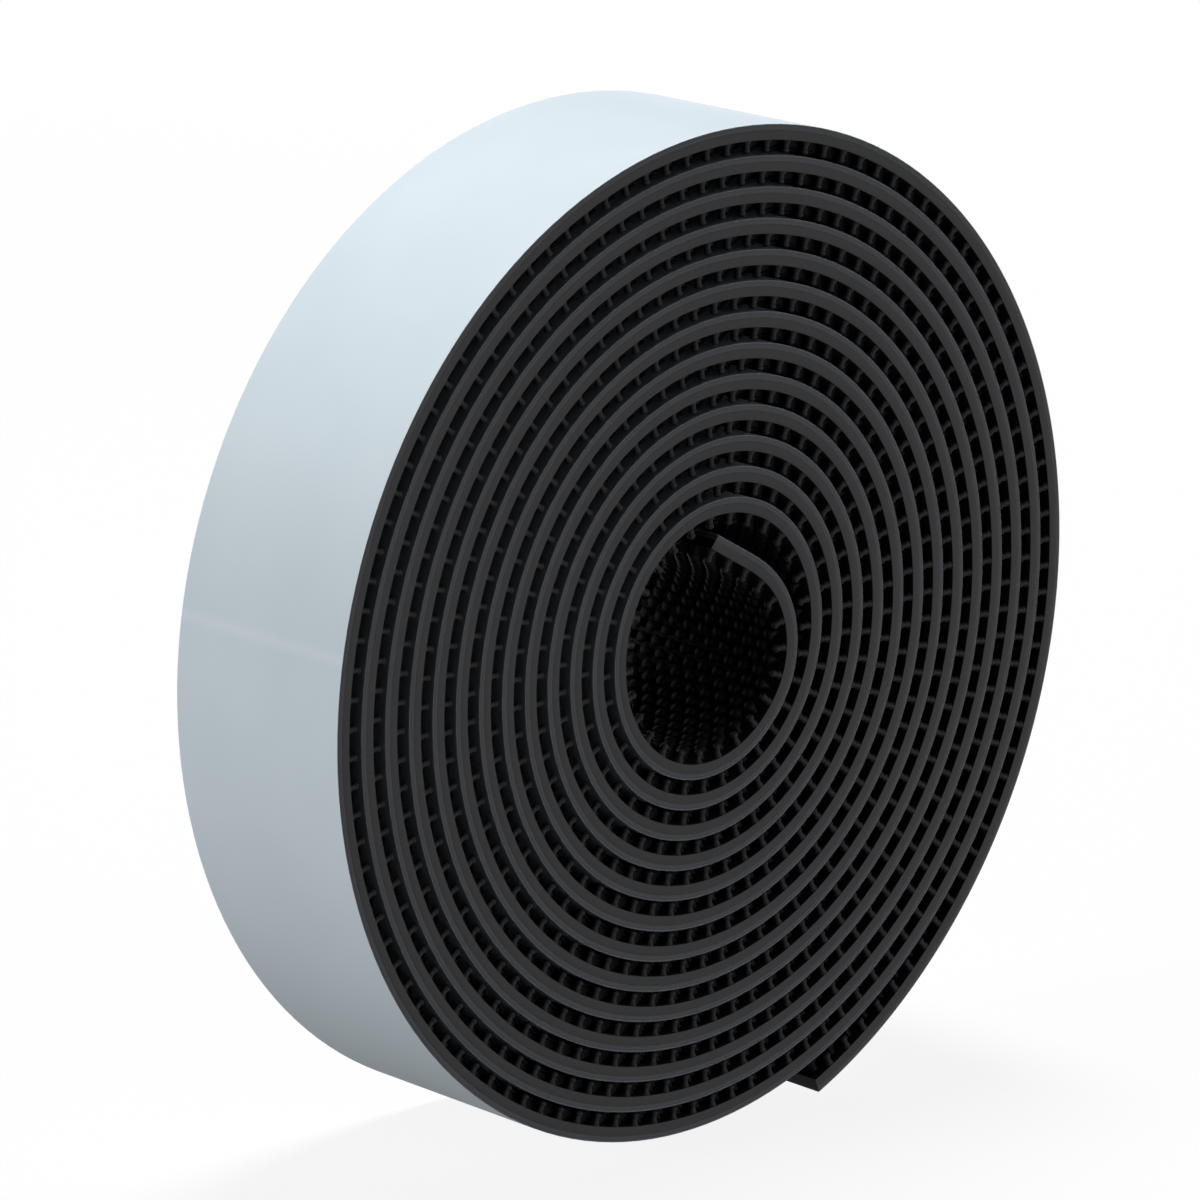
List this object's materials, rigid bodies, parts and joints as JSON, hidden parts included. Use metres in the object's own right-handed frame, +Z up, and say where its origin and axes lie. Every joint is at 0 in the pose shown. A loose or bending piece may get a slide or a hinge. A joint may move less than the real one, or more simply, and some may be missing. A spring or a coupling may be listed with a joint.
{
  "type": "mushroom fastener tape roll",
  "caption": "Coreless roll of adhesive-backed mushroom-head fastener tape standing on its rim, liner outwards, with free inner and outer ends that lift and a liner end that peels.",
  "frame": {"origin": "centre of the part's box at floor level, under the roll", "axes": "+Z up, Y along the roll's axis with the face in view towards -Y, +X towards the tail's side"},
  "size_m": [0.1188, 0.0254, 0.117],
  "materials": {
    "release_liner": "satin",
    "foam_adhesive": "matte",
    "black_plastic": "satin"
  },
  "bodies": {
    "roll": {"wound_backing": "black_plastic", "wound_adhesive": "foam_adhesive", "wound_liner": "release_liner", "bore_stems": "black_plastic"},
    "inner_end": {"inner_end_backing": "black_plastic", "inner_end_adhesive": "foam_adhesive", "inner_end_liner": "release_liner", "inner_end_stems": "black_plastic"},
    "tail_1": {"tail_1_backing": "black_plastic", "tail_1_adhesive": "foam_adhesive", "tail_1_liner": "release_liner"},
    "tail_2": {"tail_2_backing": "black_plastic", "tail_2_adhesive": "foam_adhesive", "tail_2_liner": "release_liner"},
    "tail_3": {"tail_3_backing": "black_plastic", "tail_3_adhesive": "foam_adhesive", "tail_3_liner": "release_liner"},
    "tail_4": {"tail_4_backing": "black_plastic", "tail_4_adhesive": "foam_adhesive", "tail_4_liner": "release_liner"},
    "tail_5": {"tail_5_backing": "black_plastic", "tail_5_adhesive": "foam_adhesive", "tail_5_liner": "release_liner"},
    "tail_6": {"tail_6_backing": "black_plastic", "tail_6_adhesive": "foam_adhesive", "tail_6_liner": "release_liner"},
    "liner_tab": {"liner_tab": "release_liner"}
  },
  "joints": [
    {"name": "inner_end_bend", "type": "hinge", "parent": "roll", "child": "inner_end", "pos_m": [0.01072, 0, 0.05932], "axis": [0, -1, 0], "range_deg": [0, 25], "stiffness_Nm_per_rad": 0.003, "springref_deg": -5.73},
    {"name": "tail_1_bend", "type": "hinge", "parent": "roll", "child": "tail_1", "pos_m": [0.04235, 0, 0.10001], "axis": [0, -1, 0], "range_deg": [0, 18], "stiffness_Nm_per_rad": 0.02, "springref_deg": -4.58},
    {"name": "tail_2_bend", "type": "hinge", "parent": "tail_1", "child": "tail_2", "pos_m": [0.0535, 0, 0.08465], "axis": [0, -1, 0], "range_deg": [0, 18], "stiffness_Nm_per_rad": 0.02, "springref_deg": -4.58},
    {"name": "tail_3_bend", "type": "hinge", "parent": "tail_2", "child": "tail_3", "pos_m": [0.05937, 0, 0.06655], "axis": [0, -1, 0], "range_deg": [0, 18], "stiffness_Nm_per_rad": 0.02, "springref_deg": -4.58},
    {"name": "tail_4_bend", "type": "hinge", "parent": "tail_3", "child": "tail_4", "pos_m": [0.05936, 0, 0.04747], "axis": [0, -1, 0], "range_deg": [0, 18], "stiffness_Nm_per_rad": 0.02, "springref_deg": -4.58},
    {"name": "tail_5_bend", "type": "hinge", "parent": "tail_4", "child": "tail_5", "pos_m": [0.05349, 0, 0.02925], "axis": [0, -1, 0], "range_deg": [0, 18], "stiffness_Nm_per_rad": 0.02, "springref_deg": -4.58},
    {"name": "tail_6_bend", "type": "hinge", "parent": "tail_5", "child": "tail_6", "pos_m": [0.04239, 0, 0.01354], "axis": [0, -1, 0], "range_deg": [0, 18], "stiffness_Nm_per_rad": 0.02, "springref_deg": -4.58},
    {"name": "liner_peel", "type": "hinge", "parent": "tail_6", "child": "liner_tab", "pos_m": [0.03518, 0, 0.00804], "axis": [0, -1, 0], "range_deg": [0, 150]}
  ]
}
